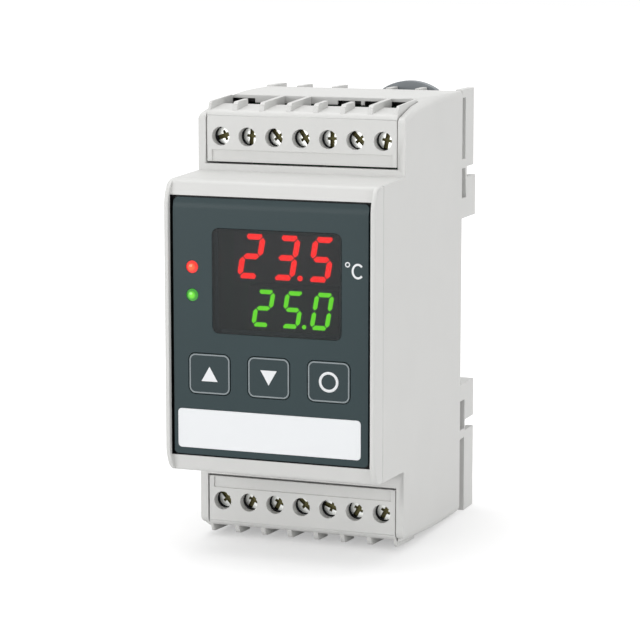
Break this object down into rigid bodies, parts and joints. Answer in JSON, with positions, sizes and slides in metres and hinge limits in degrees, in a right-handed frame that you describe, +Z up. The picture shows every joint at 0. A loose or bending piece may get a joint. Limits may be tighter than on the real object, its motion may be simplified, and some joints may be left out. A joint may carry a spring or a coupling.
{
  "type": "DIN rail temperature controller",
  "caption": "Upright rail-mounted temperature controller: raised front with two digit rows, keys and lamps, ribbed screw-terminal covers above and below, and a sprung rail latch.",
  "frame": {"origin": "middle of the width and depth, on the surface that the unit stands on", "axes": "+Z up, -Y towards the operator in front of the display, +X to the operator's right"},
  "size_m": [0.045, 0.0658, 0.0937],
  "materials": {
    "housing_plastic": "fine matt moulded plastic",
    "panel_plastic": "printed satin panel",
    "window_glass": "smoked clear plastic",
    "label_film": "white film",
    "key_film": "satin key pad",
    "red_lens": "lit red lens",
    "green_lens": "green lens",
    "red_light": "lit red segments",
    "green_light": "lit green segments",
    "display_black": "black display body",
    "switch_black": "black moulding",
    "cover_plastic": "fine matt moulded plastic",
    "block_plastic": "moulded plastic",
    "screw_steel": "nickel plated steel",
    "clamp_steel": "zinc plated steel",
    "contact_metal": "tinned brass",
    "board": "coated circuit board",
    "relay_case": "moulded relay case",
    "ferrite": "ferrite core on a wound bobbin",
    "sleeve": "shrink sleeve on an aluminium can",
    "latch_plastic": "grey moulded plastic"
  },
  "bodies": {
    "controller": {"housing": "housing_plastic", "rail_base": "housing_plastic", "front_frame": "housing_plastic", "front_panel": "panel_plastic", "display_window": "window_glass", "label_strip": "label_film", "red_lamp": "red_lens", "green_lamp": "green_lens", "process_display": "display_black", "setpoint_display": "display_black", "process_segments": "red_light", "setpoint_segments": "green_light", "key_switches": "switch_black", "upper_terminal_cover": "cover_plastic", "lower_terminal_cover": "cover_plastic", "upper_terminal_block": "block_plastic", "lower_terminal_block": "block_plastic", "upper_contact_bars": "contact_metal", "lower_contact_bars": "contact_metal", "main_board": "board", "display_board": "board", "link_board": "board", "relay": "relay_case", "transformer": "ferrite", "capacitor": "sleeve", "latch_spring": "latch_plastic"},
    "upper_screw_1": {"upper_screw_1": "screw_steel"},
    "upper_screw_2": {"upper_screw_2": "screw_steel"},
    "upper_screw_3": {"upper_screw_3": "screw_steel"},
    "upper_screw_4": {"upper_screw_4": "screw_steel"},
    "upper_screw_5": {"upper_screw_5": "screw_steel"},
    "upper_screw_6": {"upper_screw_6": "screw_steel"},
    "upper_screw_7": {"upper_screw_7": "screw_steel"},
    "upper_clamp_1": {"upper_clamp_1": "clamp_steel"},
    "upper_clamp_2": {"upper_clamp_2": "clamp_steel"},
    "upper_clamp_3": {"upper_clamp_3": "clamp_steel"},
    "upper_clamp_4": {"upper_clamp_4": "clamp_steel"},
    "upper_clamp_5": {"upper_clamp_5": "clamp_steel"},
    "upper_clamp_6": {"upper_clamp_6": "clamp_steel"},
    "upper_clamp_7": {"upper_clamp_7": "clamp_steel"},
    "lower_screw_1": {"lower_screw_1": "screw_steel"},
    "lower_screw_2": {"lower_screw_2": "screw_steel"},
    "lower_screw_3": {"lower_screw_3": "screw_steel"},
    "lower_screw_4": {"lower_screw_4": "screw_steel"},
    "lower_screw_5": {"lower_screw_5": "screw_steel"},
    "lower_screw_6": {"lower_screw_6": "screw_steel"},
    "lower_screw_7": {"lower_screw_7": "screw_steel"},
    "lower_clamp_1": {"lower_clamp_1": "clamp_steel"},
    "lower_clamp_2": {"lower_clamp_2": "clamp_steel"},
    "lower_clamp_3": {"lower_clamp_3": "clamp_steel"},
    "lower_clamp_4": {"lower_clamp_4": "clamp_steel"},
    "lower_clamp_5": {"lower_clamp_5": "clamp_steel"},
    "lower_clamp_6": {"lower_clamp_6": "clamp_steel"},
    "lower_clamp_7": {"lower_clamp_7": "clamp_steel"},
    "up_key": {"up_key": "key_film"},
    "down_key": {"down_key": "key_film"},
    "set_key": {"set_key": "key_film"},
    "rail_latch": {"rail_latch": "latch_plastic"}
  },
  "joints": [
    {"name": "upper_screw_1_turn", "type": "hinge", "parent": "controller", "child": "upper_screw_1", "pos_m": [-0.01764, -0.01185, 0.0844], "axis": [0, 1, 0], "range_deg": [0, 1800]},
    {"name": "upper_clamp_1_rise", "type": "slide", "parent": "controller", "child": "upper_clamp_1", "axis": [0, -1, 0], "range_m": [0, 0.00225]},
    {"name": "upper_screw_2_turn", "type": "hinge", "parent": "controller", "child": "upper_screw_2", "pos_m": [-0.01176, -0.01185, 0.0844], "axis": [0, 1, 0], "range_deg": [0, 1800]},
    {"name": "upper_clamp_2_rise", "type": "slide", "parent": "controller", "child": "upper_clamp_2", "axis": [0, -1, 0], "range_m": [0, 0.00225]},
    {"name": "upper_screw_3_turn", "type": "hinge", "parent": "controller", "child": "upper_screw_3", "pos_m": [-0.00588, -0.01185, 0.0844], "axis": [0, 1, 0], "range_deg": [0, 1800]},
    {"name": "upper_clamp_3_rise", "type": "slide", "parent": "controller", "child": "upper_clamp_3", "axis": [0, -1, 0], "range_m": [0, 0.00225]},
    {"name": "upper_screw_4_turn", "type": "hinge", "parent": "controller", "child": "upper_screw_4", "pos_m": [0, -0.01185, 0.0844], "axis": [0, 1, 0], "range_deg": [0, 1800]},
    {"name": "upper_clamp_4_rise", "type": "slide", "parent": "controller", "child": "upper_clamp_4", "axis": [0, -1, 0], "range_m": [0, 0.00225]},
    {"name": "upper_screw_5_turn", "type": "hinge", "parent": "controller", "child": "upper_screw_5", "pos_m": [0.00588, -0.01185, 0.0844], "axis": [0, 1, 0], "range_deg": [0, 1800]},
    {"name": "upper_clamp_5_rise", "type": "slide", "parent": "controller", "child": "upper_clamp_5", "axis": [0, -1, 0], "range_m": [0, 0.00225]},
    {"name": "upper_screw_6_turn", "type": "hinge", "parent": "controller", "child": "upper_screw_6", "pos_m": [0.01176, -0.01185, 0.0844], "axis": [0, 1, 0], "range_deg": [0, 1800]},
    {"name": "upper_clamp_6_rise", "type": "slide", "parent": "controller", "child": "upper_clamp_6", "axis": [0, -1, 0], "range_m": [0, 0.00225]},
    {"name": "upper_screw_7_turn", "type": "hinge", "parent": "controller", "child": "upper_screw_7", "pos_m": [0.01764, -0.01185, 0.0844], "axis": [0, 1, 0], "range_deg": [0, 1800]},
    {"name": "upper_clamp_7_rise", "type": "slide", "parent": "controller", "child": "upper_clamp_7", "axis": [0, -1, 0], "range_m": [0, 0.00225]},
    {"name": "lower_screw_1_turn", "type": "hinge", "parent": "controller", "child": "lower_screw_1", "pos_m": [-0.01764, -0.01185, 0.0078], "axis": [0, 1, 0], "range_deg": [0, 1800]},
    {"name": "lower_clamp_1_rise", "type": "slide", "parent": "controller", "child": "lower_clamp_1", "axis": [0, -1, 0], "range_m": [0, 0.00225]},
    {"name": "lower_screw_2_turn", "type": "hinge", "parent": "controller", "child": "lower_screw_2", "pos_m": [-0.01176, -0.01185, 0.0078], "axis": [0, 1, 0], "range_deg": [0, 1800]},
    {"name": "lower_clamp_2_rise", "type": "slide", "parent": "controller", "child": "lower_clamp_2", "axis": [0, -1, 0], "range_m": [0, 0.00225]},
    {"name": "lower_screw_3_turn", "type": "hinge", "parent": "controller", "child": "lower_screw_3", "pos_m": [-0.00588, -0.01185, 0.0078], "axis": [0, 1, 0], "range_deg": [0, 1800]},
    {"name": "lower_clamp_3_rise", "type": "slide", "parent": "controller", "child": "lower_clamp_3", "axis": [0, -1, 0], "range_m": [0, 0.00225]},
    {"name": "lower_screw_4_turn", "type": "hinge", "parent": "controller", "child": "lower_screw_4", "pos_m": [0, -0.01185, 0.0078], "axis": [0, 1, 0], "range_deg": [0, 1800]},
    {"name": "lower_clamp_4_rise", "type": "slide", "parent": "controller", "child": "lower_clamp_4", "axis": [0, -1, 0], "range_m": [0, 0.00225]},
    {"name": "lower_screw_5_turn", "type": "hinge", "parent": "controller", "child": "lower_screw_5", "pos_m": [0.00588, -0.01185, 0.0078], "axis": [0, 1, 0], "range_deg": [0, 1800]},
    {"name": "lower_clamp_5_rise", "type": "slide", "parent": "controller", "child": "lower_clamp_5", "axis": [0, -1, 0], "range_m": [0, 0.00225]},
    {"name": "lower_screw_6_turn", "type": "hinge", "parent": "controller", "child": "lower_screw_6", "pos_m": [0.01176, -0.01185, 0.0078], "axis": [0, 1, 0], "range_deg": [0, 1800]},
    {"name": "lower_clamp_6_rise", "type": "slide", "parent": "controller", "child": "lower_clamp_6", "axis": [0, -1, 0], "range_m": [0, 0.00225]},
    {"name": "lower_screw_7_turn", "type": "hinge", "parent": "controller", "child": "lower_screw_7", "pos_m": [0.01764, -0.01185, 0.0078], "axis": [0, 1, 0], "range_deg": [0, 1800]},
    {"name": "lower_clamp_7_rise", "type": "slide", "parent": "controller", "child": "lower_clamp_7", "axis": [0, -1, 0], "range_m": [0, 0.00225]},
    {"name": "up_key_press", "type": "slide", "parent": "controller", "child": "up_key", "axis": [0, 1, 0], "range_m": [0, 0.0004], "stiffness_N_per_m": 2000, "springref_m": -0.0002},
    {"name": "down_key_press", "type": "slide", "parent": "controller", "child": "down_key", "axis": [0, 1, 0], "range_m": [0, 0.0004], "stiffness_N_per_m": 2000, "springref_m": -0.0002},
    {"name": "set_key_press", "type": "slide", "parent": "controller", "child": "set_key", "axis": [0, 1, 0], "range_m": [0, 0.0004], "stiffness_N_per_m": 2000, "springref_m": -0.0002},
    {"name": "latch_pull", "type": "slide", "parent": "controller", "child": "rail_latch", "axis": [0, 0, 1], "range_m": [0, 0.0035], "stiffness_N_per_m": 1500, "springref_m": -0.002, "deforming": ["latch_spring"]}
  ],
  "couplings": [
    {"joint": "upper_screw_1_turn", "follows": "upper_clamp_1_rise", "rad_per_m": 13963},
    {"joint": "upper_screw_2_turn", "follows": "upper_clamp_2_rise", "rad_per_m": 13963},
    {"joint": "upper_screw_3_turn", "follows": "upper_clamp_3_rise", "rad_per_m": 13963},
    {"joint": "upper_screw_4_turn", "follows": "upper_clamp_4_rise", "rad_per_m": 13963},
    {"joint": "upper_screw_5_turn", "follows": "upper_clamp_5_rise", "rad_per_m": 13963},
    {"joint": "upper_screw_6_turn", "follows": "upper_clamp_6_rise", "rad_per_m": 13963},
    {"joint": "upper_screw_7_turn", "follows": "upper_clamp_7_rise", "rad_per_m": 13963},
    {"joint": "lower_screw_1_turn", "follows": "lower_clamp_1_rise", "rad_per_m": 13963},
    {"joint": "lower_screw_2_turn", "follows": "lower_clamp_2_rise", "rad_per_m": 13963},
    {"joint": "lower_screw_3_turn", "follows": "lower_clamp_3_rise", "rad_per_m": 13963},
    {"joint": "lower_screw_4_turn", "follows": "lower_clamp_4_rise", "rad_per_m": 13963},
    {"joint": "lower_screw_5_turn", "follows": "lower_clamp_5_rise", "rad_per_m": 13963},
    {"joint": "lower_screw_6_turn", "follows": "lower_clamp_6_rise", "rad_per_m": 13963},
    {"joint": "lower_screw_7_turn", "follows": "lower_clamp_7_rise", "rad_per_m": 13963}
  ]
}
